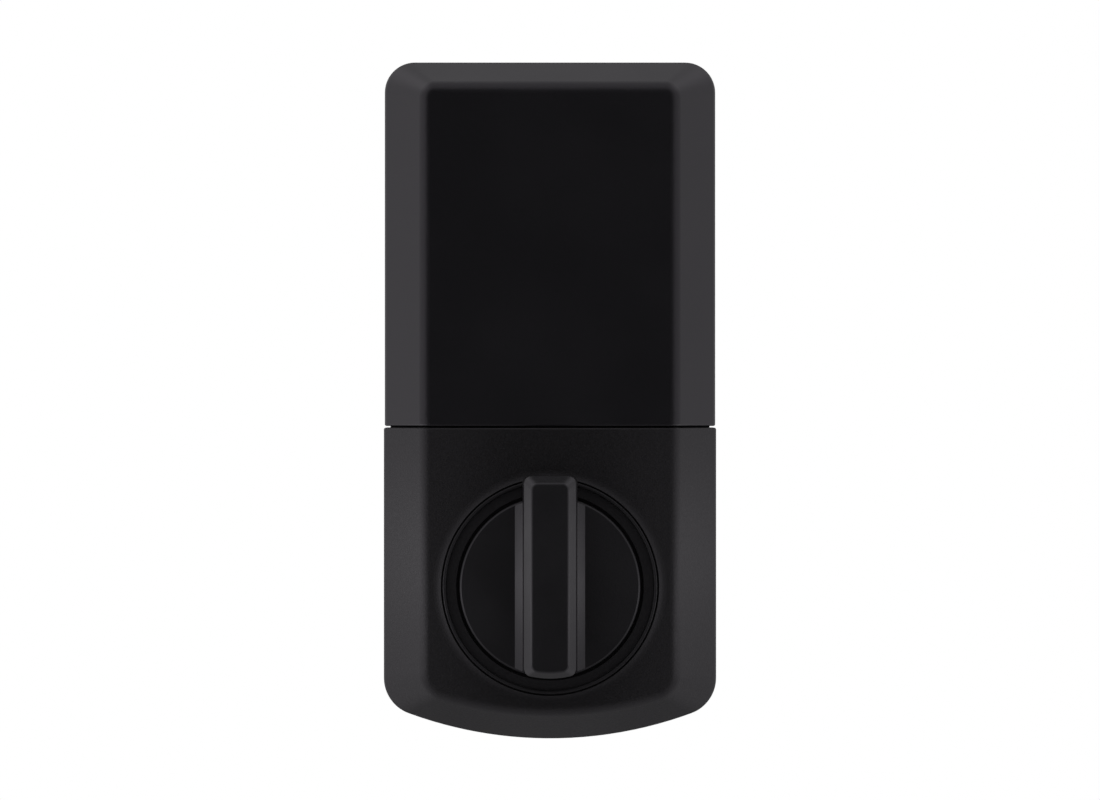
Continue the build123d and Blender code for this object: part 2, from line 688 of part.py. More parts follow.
# ---- chassis ----------------------------------------------------------------------------------------
flange_back = 4.9
upper_from = 35.0
low_body = extrude(Pos(0, 0, floor_back) * inset_outline(chassis_low_inset), floor_top - floor_back)
low_wide = extrude(Pos(0, 0, floor_back) * inset_outline(chassis_inset), flange_back - floor_back + 0.2)
low_wide &= slab(-99, 99, -99, upper_from, 0, floor_top)
full = inset_outline(chassis_inset)
wall_ring = extrude(Pos(0, 0, floor_top) * full, chassis_rim - floor_top)
wall_ring -= extrude(Pos(0, 0, 0) * inset_outline(chassis_inset + chassis_wall), 20)
wall_ring -= slab(-99, 99, upper_from, 150, 0, flange_back)
step = extrude(Pos(0, 0, floor_top) * inset_outline(chassis_low_inset), flange_back + 1.2 - floor_top)
step += extrude(Pos(0, 0, flange_back) * full, 1.2)
step -= extrude(Pos(0, 0, 0) * inset_outline(chassis_low_inset + 2.2), 20)
step &= slab(-99, 99, upper_from, 150, 0, 20)
feet = extrude(Pos(0, 0, door_plate) * inset_outline(foot_inset), floor_back - door_plate)
feet -= extrude(inset_outline(foot_inset + foot_width), 20)
chassis = low_body + low_wide + wall_ring + step + feet
chassis += slab(-body_width / 2 + 5, body_width / 2 - 5, partition, partition + partition_wall, floor_top, tray_back)
for x, y in cover_bosses:
    chassis += rod(cover_boss_radius + 1.2, floor_back, boss_seat, x, y) & extrude(full, boss_seat)
for x, y in plate_posts:
    chassis += rod(post_radius, floor_top - 1, plate_back, x, y)
chassis += rod(collar_radius + 0.6, floor_top - 1, layer_a[0] - 0.3, *second_axis)
chassis += rod(collar_radius, floor_top - 1, layer_b[0] - 0.3, *first_axis)
for x, y in unit_screws_at:
    chassis += rod(3.9, floor_top - 1, tray_back, x, y)
    chassis += rod(3.9, door_plate, floor_back + 1, x, y)
tray_screws_at = both_sides([(21.0, service_panel_y), (cell_pitch, 91.0)])
board_holes = both_sides([(25.4, 62.0), (25.4, 93.0)])
for x, y in tray_screws_at:
    chassis += rod(2.4, floor_top - 1, tray_back, x, y)
for x, y in board_holes:
    chassis += rod(2.4, floor_top - 1, board_back, x, y)
side_rib = 30.2
for side in (-1, 1):
    x0, x1 = sorted((side * side_rib, side * (side_rib + 1.4)))
    chassis += slab(x0, x1, 47, 106, floor_top + 0.6, tray_back)
top_wall_y = tray_span[1] + 0.3
chassis += slab(-22, 22, top_wall_y, top_wall_y + 1.4, floor_top - 1, tray_back + tray_thick)
cuts = [rod(rear_outer, 0, 20), extrude(Pos(0, 0, 0) * passage, 9)]
cuts += [rod(bolt_head_room, 0, 4.9, side * door_bolt_x, 0) for side in (-1, 1)]
for x, y in cover_bosses:
    cuts += [rod(1.4, 0, 20, x, y), rod(2.8, 0, counterbore_top, x, y)]
cuts += [rod(cover_boss_radius + 0.3, boss_seat, 20, x, y) for x, y in cover_bosses]
cuts += [rod(thread_radius, floor_top, 20, x, y) for x, y in plate_posts + tray_screws_at]
cuts += [rod(board_thread, floor_top, 20, x, y) for x, y in board_holes]
cuts += [rod(axle_radius, axle_foot, 20, *axis) for axis in (second_axis, first_axis)]
cuts += [rod(unit_screw_radius + 0.2, 0, 20, x, y) for x, y in unit_screws_at]
for side in (-1, 1):
    x0 = side * hook_x - hook_width / 2 - 0.4
    cuts.append(slab(x0, x0 + hook_width + 0.8, hook_y - hook_thick - 0.4, hook_y + 0.5, 0, floor_top + 1))
plug_x = -14.6
leg_slot = slab(leg_x[0] - 0.4, leg_x[1] + 0.4, partition - 1, partition + 3, board_back - 0.4, tray_back + 1)
lead_slot = slab(plug_x - 2.4, plug_x + 2.4, partition - 1, partition + 3, 12.0, tray_back + 1)
cuts += [leg_slot, lead_slot]
chassis -= cuts
add("chassis", chassis, (0.12, 0.12, 0.13))

# ---- battery tray and cells ----------------------------------------------------------------------
cell_xs = [cell_pitch * (i - 1.5) for i in range(4)]
tray_floor = tray_back + tray_thick
tray_outline = Pos(0, (tray_span[0] + tray_span[1]) / 2) * RectangleRounded(
    2 * tray_half_width, tray_span[1] - tray_span[0], 3
)
tray = extrude(Pos(0, 0, tray_back) * tray_outline, tray_thick)
end_half = 29.6
side_inner = tray_half_width - tray_wall
tray += slab(-end_half, end_half, bay_span[0] - tray_wall, bay_span[0], tray_back, tray_end_top)
tray += slab(-end_half, end_half, bay_span[1], tray_span[1], tray_back, tray_end_top)
for side in (-1, 1):
    x0, x1 = sorted((side * side_inner, side * tray_half_width))
    tray += slab(x0, x1, bay_span[0] - tray_wall, tray_span[1] - 3, tray_back, tray_side_top)
for x in (-cell_pitch, 0, cell_pitch):
    tray += slab(x - 0.9, x + 0.9, *bay_span, tray_floor - 0.1, 20.6)
for y in (58, 77, 96):
    tray += slab(-side_inner - 0.2, side_inner + 0.2, y - 0.8, y + 0.8, tray_floor - 0.1, 20.6)
tray -= [
    Pos(x, (bay_span[0] + bay_span[1]) / 2, cell_depth) * Rot(90, 0, 0) * Cylinder(cell_radius, bay_span[1] - bay_span[0])
    for x in cell_xs
]
button_hole = program_radius
slot_width = 1.9
slider_length = 1.8
slider_wide = 1.5
slider_stroke = 2 * slider_travel
slider_xs = [slider_first_x + slider_pitch * i for i in range(4)]
slot_low = service_panel_y - slider_length / 2 - 0.3
slot_high = service_panel_y + slider_length / 2 + slider_stroke + 0.3
tray_cuts = [rod(button_hole, 0, 30, program_x, service_panel_y)]
tray_cuts += [slab(x - slot_width / 2, x + slot_width / 2, slot_low, slot_high, 0, 30) for x in slider_xs]
tray_cuts += [rod(1.3, 0, 30, x, y) + rod(2.5, tray_floor, 30, x, y) for x, y in tray_screws_at]
tray_cuts += [rod(unit_screw_radius + 0.2, 0, 30, x, y) for x, y in unit_screws_at]
tail_x = [cell_xs[0], cell_xs[3]]
tray_cuts += [slab(x - 1.2, x + 1.2, bay_span[0] - 0.1, bay_span[0] + 0.5, 0, tray_floor + 0.1) for x in tail_x]
tray -= tray_cuts
add("battery_tray", tray, (0.14, 0.14, 0.15))

bay_low = bay_span[0] + contact_thick
bay_high = bay_span[1] - contact_thick
free = bay_high - bay_low - cell_length


def along_y(radius, y0, y1, x):
    return Pos(x, (y0 + y1) / 2, cell_depth) * Rot(90, 0, 0) * Cylinder(radius, y1 - y0)


for i, x in enumerate(cell_xs):
    nub_up = i % 2 == 0
    if nub_up:
        body = along_y(cell_radius, bay_low + free, bay_high - nub_height, x)
        nub = along_y(nub_radius, bay_high - nub_height - 0.1, bay_high, x)
    else:
        body = along_y(cell_radius, bay_low + nub_height, bay_high - free, x)
        nub = along_y(nub_radius, bay_low, bay_low + nub_height + 0.1, x)
    body = fillet(body.edges().filter_by(GeomType.CIRCLE), 0.5)
    add(f"battery_cell_{i + 1}", body + nub, (0.8, 0.55, 0.2))

contact_half = contact_width / 2
plate_low = cell_depth - contact_half
plate_high = tray_end_top - 0.2


def contact(x0, x1, at_top):
    y0, y1 = (bay_high, bay_span[1]) if at_top else (bay_span[0], bay_low)
    return slab(x0 - contact_half, x1 + contact_half, y0, y1, plate_low, plate_high)


contacts = [
    contact(cell_xs[0], cell_xs[1], True),
    contact(cell_xs[2], cell_xs[3], True),
    contact(cell_xs[1], cell_xs[2], False),
]
board_front = board_back + board_thick
for x in tail_x:
    contacts.append(contact(x, x, False) + slab(x - 1, x + 1, bay_span[0], bay_low, board_front, plate_low + 1))
add("contact_plates", Compound(children=contacts), (0.8, 0.8, 0.82))

coils = []
for i, x in enumerate(cell_xs):
    base = bay_low if i % 2 == 0 else bay_high - free
    rise = free - 2 * spring_wire
    helix = Helix(rise / spring_turns, rise, spring_radius)
    start = helix @ 0
    profile = Plane(origin=start, z_dir=helix % 0) * Circle(spring_wire)
    coil = sweep(profile, path=helix, is_frenet=True)
    coils.append(Pos(x, base + spring_wire, cell_depth) * Rot(-90, 0, 0) * coil)
add("contact_springs", Compound(children=coils), (0.8, 0.8, 0.82))

tray_screws = [pan_screw(x, y, tray_back - 6, tray_floor, thread_radius, 2.2, 1.3) for x, y in tray_screws_at]
add("tray_screws", Compound(children=tray_screws), (0.6, 0.6, 0.62))
unit_screws = [
    pan_screw(x, y, 0.1, tray_floor, unit_screw_radius, 2.8, 1.9) for x, y in unit_screws_at
]
add("unit_screws", Compound(children=unit_screws), (0.6, 0.6, 0.62))
cover_screws = [
    pan_screw(x, y, boss_seat + 7, counterbore_top, pilot_radius, 2.2, 1.4, faces_room=False)
    for x, y in cover_bosses
]
add("cover_screws", Compound(children=cover_screws), (0.6, 0.6, 0.62))

clip_y = 76.0
clips = []
for side in (-1, 1):
    x = tray_half_width
    points = [(x, -9), (x + 0.3, -9), (x + 0.95, -2), (x + 0.95, 2), (x + 0.3, 9), (x, 9), (x, 8),
              (x + 0.62, 1.8), (x + 0.62, -1.8), (x, -8)]
    leaf = make_face(Polyline(*[(side * px, clip_y + py) for px, py in points], close=True))
    clips.append(extrude(Pos(0, 0, tray_back + 1) * leaf, 4.5))
add("cover_clips", Compound(children=clips), (0.75, 0.75, 0.77))

# ---- circuit board ------------------------------------------------------------------------------
main_area = Pos(0, (board_span[0] + board_span[1]) / 2) * RectangleRounded(
    2 * board_half_width, board_span[1] - board_span[0], 2
)
leg = make_face(Polyline(
    (leg_x[0], leg_bottom), (leg_x[1], leg_bottom), (leg_x[1], board_span[0] + 2),
    (leg_x[0], board_span[0] + 2), close=True,
))
board = extrude(Pos(0, 0, board_back) * (main_area + leg), board_thick)
board_cuts = [rod(4.3, 0, 30, x, y) for x, y in unit_screws_at]
board_cuts += [rod(2.8, 0, 30, x, y) for x, y in tray_screws_at]
board_cuts += [rod(1.1, 0, 30, x, y) for x, y in board_holes]
board -= board_cuts
add("main_board", board, (0.1, 0.35, 0.2))
board_screws = [pan_screw(x, y, board_back - 4, board_front, board_thread, 1.8, 1.0) for x, y in board_holes]
add("board_screws", Compound(children=board_screws), (0.6, 0.6, 0.62))

header_y = passage_centre[1] + 3.2
header_half = 4.4
header_back = floor_top + 0.2
header = slab(passage_centre[0] - header_half, passage_centre[0] + header_half, header_y - 2.8, header_y + 2.8,
              header_back, board_back)
header -= slab(passage_centre[0] - header_half + 0.7, passage_centre[0] + header_half - 0.7, header_y - 2.1,
               header_y + 2.1, header_back - 1, board_back - 1.2)
pins = [slab(passage_centre[0] + 1.5 * k - 0.25, passage_centre[0] + 1.5 * k + 0.25, header_y - 0.25, header_y + 0.25,
             header_back + 1, board_back - 1.0) for k in (-1.5, -0.5, 0.5, 1.5)]
for pin in pins:
    header += pin
add("cable_header", header, (0.9, 0.9, 0.85))

sensor = slab(leg_x[0] + 0.3, leg_x[0] + 3.3, -1.6, 1.6, board_back - 1, board_back)
add("position_sensor", sensor, (0.1, 0.1, 0.1))
chips = [
    slab(-11, -1, 66, 76, board_front, board_front + 1.1),
    slab(4, 9, 64, 68, board_front, board_front + 0.9),
    slab(-20, -14, 56, 60, board_front, board_front + 1.2),
    slab(12, 17, 56, 61, board_front, board_front + 1.0),
]
add("board_chips", Compound(children=chips), (0.08, 0.08, 0.09))
radio = slab(-9, 7, 84, 100, board_front, board_front + 0.8)
radio += slab(-7.5, 5.5, 85.5, 95, board_front + 0.7, board_front + 2.2)
add("radio_module", radio, (0.7, 0.7, 0.72))
capacitors = []
for x, y in [(16, 69), (16, 79), (-19.6, 68)]:
    can = rod(3.1, board_back - 4.6, board_back - 0.6, x, y)
    can = fillet(can.edges().filter_by(GeomType.CIRCLE).sort_by(Axis.Z)[0], 0.5)
    capacitors.append(can + slab(x - 3.3, x + 3.3, y - 3.3, y + 3.3, board_back - 0.7, board_back))
add("capacitors", Compound(children=capacitors), (0.7, 0.7, 0.75))
sounder = rod(6.0, board_back - 4.4, board_back, -14, 80) - rod(1.0, 0, board_back - 2, -14, 80)
add("sounder", sounder, (0.1, 0.1, 0.1))

# ---- program switch and setting switches ------------------------------------------------------------
switch_top = board_front + 2.2
well_floor = board_front + 1.0
stem_radius = program_radius - 0.3
program_switch = slab(program_x - 3, program_x + 3, service_panel_y - 3, service_panel_y + 3, board_front, switch_top)
program_switch -= rod(stem_radius + 0.2, well_floor, 30, program_x, service_panel_y)
add("program_switch", program_switch, (0.2, 0.2, 0.2))
press_travel = 0.35
stem_back = well_floor + press_travel + 0.25
collar_back = switch_top + press_travel + 0.2
program_button = rod(stem_radius, stem_back, tray_floor + 0.9, program_x, service_panel_y)
program_button += rod(program_radius + 0.4, collar_back, collar_back + 0.4, program_x, service_panel_y)
program_button = fillet(program_button.edges().sort_by(Axis.Z)[-1], 0.3)
add("program_button", program_button, (0.75, 0.2, 0.2))

bank_top = board_front + 2.9
bank = slab(slider_xs[0] - 2.4, slider_xs[3] + 2.4, slot_low - 1.2, slot_high + 1.2, board_front, bank_top)
bank -= [slab(x - slot_width / 2, x + slot_width / 2, slot_low, slot_high, well_floor, 30) for x in slider_xs]
add("switch_bank", bank, (0.25, 0.3, 0.5))
for i, x in enumerate(slider_xs):
    slider = slab(x - slider_wide / 2, x + slider_wide / 2, service_panel_y - slider_length / 2,
                  service_panel_y + slider_length / 2, well_floor + 0.25, tray_floor + 0.6)
    add(f"setting_slider_{i + 1}", slider, (0.9, 0.9, 0.9))

# ---- motor leads --------------------------------------------------------------------------------------
plug_low = board_span[0] + 0.3
plug = slab(plug_x - 3, plug_x + 3, plug_low, plug_low + 5, board_front, board_front + 3.1)
lead_radius = 0.5
lead_bend = 2.0
lead_drop_y = 33.9
lead_depth = board_front + 1.6
for side, name in ((-1, "motor_lead_red"), (1, "motor_lead_black")):
    start_x = motor_axis[0] + side * terminal_x
    end_x = plug_x + side * 1.3
    start_depth = terminal_front - lead_radius
    path = FilletPolyline(
        (start_x, motor_axis[1] + 0.2, start_depth),
        (start_x, lead_drop_y, start_depth),
        (start_x, lead_drop_y, 21.0),
        (end_x, lead_drop_y, lead_depth),
        (end_x, plug_low + 1.5, lead_depth),
        radius=lead_bend,
    )
    begin = Plane(origin=path @ 0, z_dir=path % 0)
    lead = sweep(begin * Circle(lead_radius), path=path)
    plug -= Pos(end_x, plug_low + 0.7, lead_depth) * Rot(90, 0, 0) * Cylinder(lead_radius, 1.6)
    add(name, lead, (0.7, 0.1, 0.1) if side < 0 else (0.05, 0.05, 0.05))
add("motor_plug", plug, (0.92, 0.92, 0.88))
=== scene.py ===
# %% [markdown]
# # Indoor unit of a keypad deadbolt
# The unit is the box on the room side of a door: a lift-off battery cover above, a painted cover
# with a round thumb turn below. The CAD model brings every solid piece at its real size, in
# metres. This script gives the pieces their finishes, adds the fine pieces that are easier to
# model here, and sets up a plain studio.

import json
from math import pi, radians

import bmesh
import bpy
from mathutils import Matrix, Vector


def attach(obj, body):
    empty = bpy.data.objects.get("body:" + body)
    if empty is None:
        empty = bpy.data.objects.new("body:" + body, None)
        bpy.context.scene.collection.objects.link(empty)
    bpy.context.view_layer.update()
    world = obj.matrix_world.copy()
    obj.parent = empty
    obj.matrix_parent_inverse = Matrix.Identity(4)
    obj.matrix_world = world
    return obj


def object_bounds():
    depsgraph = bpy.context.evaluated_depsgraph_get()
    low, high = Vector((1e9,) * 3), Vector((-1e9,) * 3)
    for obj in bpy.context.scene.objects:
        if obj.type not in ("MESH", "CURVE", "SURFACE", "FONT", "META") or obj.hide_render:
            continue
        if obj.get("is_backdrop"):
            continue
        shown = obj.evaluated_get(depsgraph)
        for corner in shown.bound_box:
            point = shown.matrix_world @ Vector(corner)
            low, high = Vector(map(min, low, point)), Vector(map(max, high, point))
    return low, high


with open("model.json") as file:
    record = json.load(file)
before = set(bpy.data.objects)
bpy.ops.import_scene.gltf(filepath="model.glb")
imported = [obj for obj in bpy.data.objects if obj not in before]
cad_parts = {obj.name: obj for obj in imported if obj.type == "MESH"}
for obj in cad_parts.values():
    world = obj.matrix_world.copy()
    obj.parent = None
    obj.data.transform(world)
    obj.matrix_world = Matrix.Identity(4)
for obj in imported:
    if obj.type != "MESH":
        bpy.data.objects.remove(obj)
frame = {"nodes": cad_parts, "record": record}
cad_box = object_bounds()
nodes = frame["nodes"]
scene = bpy.context.scene
mm = 0.001
print("pieces from CAD:", len(nodes))
print("size in mm:", [round((hi - lo) / mm, 1) for lo, hi in zip(*cad_box)])

# %% [markdown]
# ## Places taken from the CAD model
# A few finishes and small pieces have to sit exactly on a CAD piece. Their places are named once
# here, in millimetres, with x to the right, y into the door and z up.

# %% Places
board_face = -11.8
tray_face = -17.2
cover_front = -36.0
cover_joint = 33.69
cell_pitch = 14.8
cell_axis_y = -25.2
bay_low, bay_high = 50.0, 104.2
bay_middle = (bay_low + bay_high) / 2
print("middle of the battery bay:", round(bay_middle, 1), "mm above the knob's axis")

# %% [markdown]
# ## A short way to write shader maths
# A finish is a small graph of nodes. `Wire` stands for one output in that graph, so that
# `grain * 0.3 + 0.1` adds the Math nodes by itself. The reflected forms, such as `__rsub__`, let
# a plain number stand first, as in `1.0 - mask`.


# %% Wires
class Wire:
    """One output of a node. Sums and products of wires add Math nodes."""

    def __init__(self, graph, socket):
        self.graph = graph
        self.socket = socket

    def math(self, operation, *others):
        inputs = dict(enumerate((self, *others)))
        return self.graph.node("ShaderNodeMath", inputs, operation=operation)

    def __add__(self, other):
        return self.math("ADD", other)

    def __sub__(self, other):
        return self.math("SUBTRACT", other)

    def __rsub__(self, other):
        return self * -1.0 + other

    def __mul__(self, other):
        return self.math("MULTIPLY", other)

    def __gt__(self, other):
        return self.math("GREATER_THAN", other)

    def __lt__(self, other):
        return self.math("LESS_THAN", other)

    __radd__ = __add__
    __rmul__ = __mul__

    def ramp(self, low, high, to_low=0.0, to_high=1.0):
        """Goes smoothly from to_low to to_high as this goes from low to high."""
        inputs = {"Value": self, "From Min": low, "From Max": high, "To Min": to_low, "To Max": to_high}
        return self.graph.node("ShaderNodeMapRange", inputs, interpolation_type="SMOOTHSTEP")

    def step(self, edge, blur):
        """0 below the edge and 1 above it, softened over blur to either side."""
        return self.ramp(edge - blur, edge + blur)

    def mix(self, first, second):
        """The colour first where this is 0, and second where it is 1."""
        return self.graph.node("ShaderNodeMix", {0: self, 6: first, 7: second}, output=2, data_type="RGBA")


# %% [markdown]
# ## Graphs and finishes
# `Graph` is any tree of shader nodes. Its `node` adds a node of any type, with its settings and
# with the values or links of its sockets, and `split` takes a vector apart. `Finish` is a
# material: a graph on the object's own coordinates, so that a pattern has its real size and stays
# on its piece.


# %% Graphs and finishes
class Graph:
    """A tree of shader nodes."""

    def __init__(self, tree):
        self.tree = tree

    def feed(self, socket, value):
        """Links a wire to a socket, or sets the socket to a number or a colour."""
        if isinstance(value, Wire):
            self.tree.links.new(value.socket, socket)
        elif hasattr(value, "__len__") and len(value) == 3 and len(socket.default_value) == 4:
            socket.default_value = (*value, 1.0)
        else:
            socket.default_value = value

    def node(self, kind, inputs, output=0, **settings):
        node = self.tree.nodes.new(kind)
        for key, value in settings.items():
            setattr(node, key, value)
        for key, value in inputs.items():
            self.feed(node.inputs[key], value)
        return Wire(self, node.outputs[output])

    def split(self, vector):
        """The three parts of a vector, as wires."""
        parts = self.tree.nodes.new("ShaderNodeSeparateXYZ")
        self.feed(parts.inputs[0], vector)
        return [Wire(self, socket) for socket in parts.outputs]


class Finish(Graph):
    """One material, made of nodes on the object's own coordinates in millimetres."""

    def __init__(self, name):
        self.material = bpy.data.materials.new(name)
        self.material.use_nodes = True
        super().__init__(self.material.node_tree)
        self.surface = self.tree.nodes["Principled BSDF"]
        metres = self.node("ShaderNodeTexCoord", {}, output="Object")
        self.place = self.node("ShaderNodeVectorMath", {0: metres, "Scale": 1.0 / mm}, operation="SCALE")
        self.x, self.y, self.z = self.split(self.place)

    def noise(self, size, detail=2.0, rough=0.5, place=None):
        """Cloudy noise from 0 to 1 whose blobs are about size millimetres across."""
        inputs = {"Vector": place or self.place, "Scale": 1.0 / size, "Detail": detail, "Roughness": rough}
        return self.node("ShaderNodeTexNoise", inputs)

    def pits(self, size):
        """Distance from scattered points, size millimetres apart."""
        return self.node("ShaderNodeTexVoronoi", {"Vector": self.place, "Scale": 1.0 / size})

    def stretched(self, *factors):
        """The place with x, y and z scaled apart, which turns round blobs into streaks."""
        return self.node("ShaderNodeVectorMath", {0: self.place, 1: factors}, operation="MULTIPLY")

    def bump(self, height, depth):
        """Relief: height goes from 0 to 1, depth is its real depth in millimetres."""
        return self.node("ShaderNodeBump", {"Height": height, "Distance": depth * mm, "Strength": 1.0})

    def use(self, **inputs):
        """Feeds the surface; an underscore in a name stands for a space."""
        for key, value in inputs.items():
            self.feed(self.surface.inputs[key.replace("_", " ")], value)
        return self.material


# %% [markdown]
# ## The battery cover
# The upper cover is a moulding with a smooth satin face. Its grain is so fine and shallow that it
# only softens reflections a little. Black plastic and paint still mirror white walls faintly, and
# here the mirrored light has a slight violet cast, which is set as the tint of the gloss.


# %% Battery cover
violet_gloss = (0.97, 0.93, 1.0)
deep_violet_gloss = (0.97, 0.92, 1.0)


def satin_cover():
    f = Finish("satin_black_cover")
    grain = f.noise(0.22, detail=3.0, rough=0.6)
    cloud = f.noise(26.0, detail=3.0)
    colour = (grain * 0.5 + cloud * 0.5).mix((0.0066, 0.0066, 0.0076), (0.0084, 0.0084, 0.0094))
    rough = grain * 0.05 + cloud.ramp(0.35, 0.7, 0.27, 0.32)
    relief = f.bump(grain, 0.0035)
    return f.use(
        Base_Color=colour, Roughness=rough, Normal=relief, IOR=1.51, Specular_Tint=deep_violet_gloss
    )


# %% [markdown]
# ## The painted castings
# The lower cover and the knob are die castings with baked paint. The lower cover's is a fine
# powder coat, whose grain and pits break the reflections up into tiny specks, and which is duller
# toward the sides. Above the joint, where its tongue reaches up inside the battery cover, the colour
# is made nearly black and matt. This is painted shade, so that the joint between the covers reads as a
# dark line. The ring round the knob has a finish of the same kind, a little lighter.


# %% Painted castings
def powder_coat():
    f = Finish("textured_black_paint")
    grain = f.noise(0.42, detail=4.0, rough=0.7)
    pit = f.pits(0.5)
    cloud = f.noise(30.0)
    speck = f.noise(0.3, detail=1.0).ramp(0.62, 0.74)
    paint = (grain * 0.6 + cloud * 0.4).mix((0.0056, 0.0055, 0.0057), (0.0088, 0.0086, 0.0088))
    specked = speck.mix(paint, (0.017, 0.0166, 0.017))
    # painted shade: above the joint the colour goes nearly black and the surface matt, so the gap between
    # the covers reads dark
    painted_seam_shade = f.z.step(cover_joint, 0.03)
    colour = painted_seam_shade.mix(specked, (0.0008, 0.0008, 0.0008))
    toward_side = f.x.math("ABSOLUTE").ramp(6.0, 25.0)
    rough = grain.ramp(0.3, 0.7, 0.3, 0.42) + toward_side * 0.12 + painted_seam_shade * 0.5
    relief = f.bump(grain * 0.7 + pit * 0.3, 0.045)
    return f.use(
        Base_Color=colour, Roughness=rough.math("MINIMUM", 1.0), Normal=relief, IOR=1.5,
        Specular_Tint=violet_gloss,
    )


def knob_paint():
    f = Finish("knob_black_paint")
    grain = f.noise(0.3, detail=3.0, rough=0.6)
    cloud = f.noise(14.0)
    colour = (grain * 0.4 + cloud * 0.6).mix((0.0064, 0.0064, 0.0069), (0.009, 0.009, 0.0096))
    rough = grain * 0.06 + cloud.ramp(0.35, 0.7, 0.3, 0.36)
    relief = f.bump(grain, 0.02)
    return f.use(Base_Color=colour, Roughness=rough, Normal=relief, IOR=1.53, Specular_Tint=violet_gloss)


def ring_black():
    f = Finish("ring_black")
    grain = f.noise(0.35, detail=3.0, rough=0.65)
    colour = grain.mix((0.0088, 0.0088, 0.0092), (0.015, 0.0148, 0.0154))
    rough = grain.ramp(0.3, 0.7, 0.3, 0.42)
    relief = f.bump(grain, 0.03)
    return f.use(Base_Color=colour, Roughness=rough, Normal=relief, IOR=1.48, Specular_Tint=violet_gloss)


# %% [markdown]
# ## Metals and mouldings of the inside
# Metals differ by how they were made: a rolled sheet has fine streaks along one direction, while
# a plated or turned piece has a fine swirl and faint stains. Mouldings inside are plainer and a
# little rougher than the show faces.


# %% Metals and mouldings
streaks = {"z": (9.0, 4.0, 0.5), "x": (0.5, 4.0, 9.0)}


def darker(colour, share):
    return tuple(part * share for part in colour)


def sheet_metal(name, colour, streak, rough):
    f = Finish(name)
    lines = f.noise(1.0, detail=3.0, rough=0.6, place=f.stretched(*streaks[streak]))
    stain = f.noise(12.0, detail=4.0, rough=0.6)
    tone = (lines * 0.4 + stain * 0.6).mix(darker(colour, 0.72), colour)
    roughness = lines * 0.15 + stain.ramp(0.3, 0.7, rough - 0.06, rough + 0.08)
    return f.use(Base_Color=tone, Metallic=1.0, Roughness=roughness, Normal=f.bump(lines, 0.004))


def plated(name, colour, rough):
    f = Finish(name)
    swirl = f.noise(0.6, detail=4.0, rough=0.7)
    stain = f.noise(5.0, detail=3.0)
    tone = (swirl * 0.3 + stain * 0.7).mix(darker(colour, 0.78), colour)
    roughness = stain.ramp(0.3, 0.7, rough - 0.05, rough + 0.08)
    return f.use(Base_Color=tone, Metallic=1.0, Roughness=roughness, Normal=f.bump(swirl, 0.003))


def moulding(name, dark, light, rough, grain_size=0.35, depth=0.01):
    f = Finish(name)
    grain = f.noise(grain_size, detail=3.0, rough=0.6)
    cloud = f.noise(15.0, detail=3.0)
    tone = (grain * 0.4 + cloud * 0.6).mix(dark, light)
    roughness = grain * 0.1 + cloud.ramp(0.3, 0.7, rough - 0.04, rough + 0.05)
    return f.use(Base_Color=tone, Roughness=roughness, Normal=f.bump(grain, depth))


# %% [markdown]
# ## The circuit board
# A board is glass cloth under green lacquer. The weave shows as a faint grid, made here from two
# sine waves, and the copper tracks lie under the lacquer as paler, slightly raised lanes. Noise
# that is stretched upward and cut to a narrow band gives lanes that wander like real tracks.


# %% Circuit board
def solder_mask():
    f = Finish("board_green")
    weave_x = (f.x * 4.4).math("SINE").math("ABSOLUTE")
    weave_z = (f.z * 4.4).math("SINE").math("ABSOLUTE")
    lane = f.noise(3.2, detail=0.0, place=f.stretched(1.0, 1.0, 0.12))
    track = lane.step(0.515, 0.015) - lane.step(0.575, 0.015)
    cloud = f.noise(18.0)
    lacquer = cloud.mix((0.006, 0.075, 0.03), (0.01, 0.1, 0.042))
    colour = track.mix(lacquer, (0.018, 0.15, 0.065))
    relief = f.bump(track * 0.6 + weave_x * weave_z * 0.3, 0.03)
    return f.use(Base_Color=colour, Roughness=cloud.ramp(0.3, 0.7, 0.22, 0.3), Normal=relief)


# %% [markdown]
# ## The cells' sleeves
# Each cell has a printed sleeve: a dark body, a copper band at the nub's end with a pale line
# below it, and bare steel at both ends. The four cells share one finish. It finds the column a
# point is in from x, and turns the pattern over in every second column, where the nub is down.


# %% Cell sleeve
def cell_sleeve():
    f = Finish("cell_sleeve")
    band_edge, line_low, line_high, blur = 9.9, 9.0, 9.5, 0.1
    bare_radius, bare_height = 6.3, 23.0
    column = (f.x * (1.0 / cell_pitch)).math("FLOOR")
    nub_down = (column + 2.0).math("MODULO", 2.0) > 0.5
    above_middle = f.z - bay_middle
    toward_nub = above_middle * (1.0 - nub_down * 2.0)
    from_axis_x = f.x - (column * cell_pitch + cell_pitch / 2)
    from_axis_y = f.y - cell_axis_y
    radius = (from_axis_x * from_axis_x + from_axis_y * from_axis_y).math("SQRT")
    bare = (radius < bare_radius) * (above_middle.math("ABSOLUTE") > bare_height)
    band = toward_nub.step(band_edge, blur)
    line = toward_nub.step(line_low, blur) - toward_nub.step(line_high, blur)
    grain = f.noise(0.4)
    dark = grain.mix((0.011, 0.011, 0.013), (0.017, 0.017, 0.02))
    copper = grain.mix((0.44, 0.17, 0.06), (0.56, 0.24, 0.09))
    printed = line.mix(band.mix(dark, copper), (0.6, 0.6, 0.6))
    colour = bare.mix(printed, (0.62, 0.61, 0.58))
    metal = (band * 0.6).math("MAXIMUM", bare)
    rough = bare.ramp(0.0, 1.0, 0.24, 0.3) + grain * 0.05
    return f.use(Base_Color=colour, Metallic=metal, Roughness=rough, Normal=f.bump(grain, 0.003))


# %% [markdown]
# ## Giving every piece its finish
# The record names a material slot for every CAD piece. The dictionary has one finish for each
# slot, and the loop puts it on the pieces that use it.

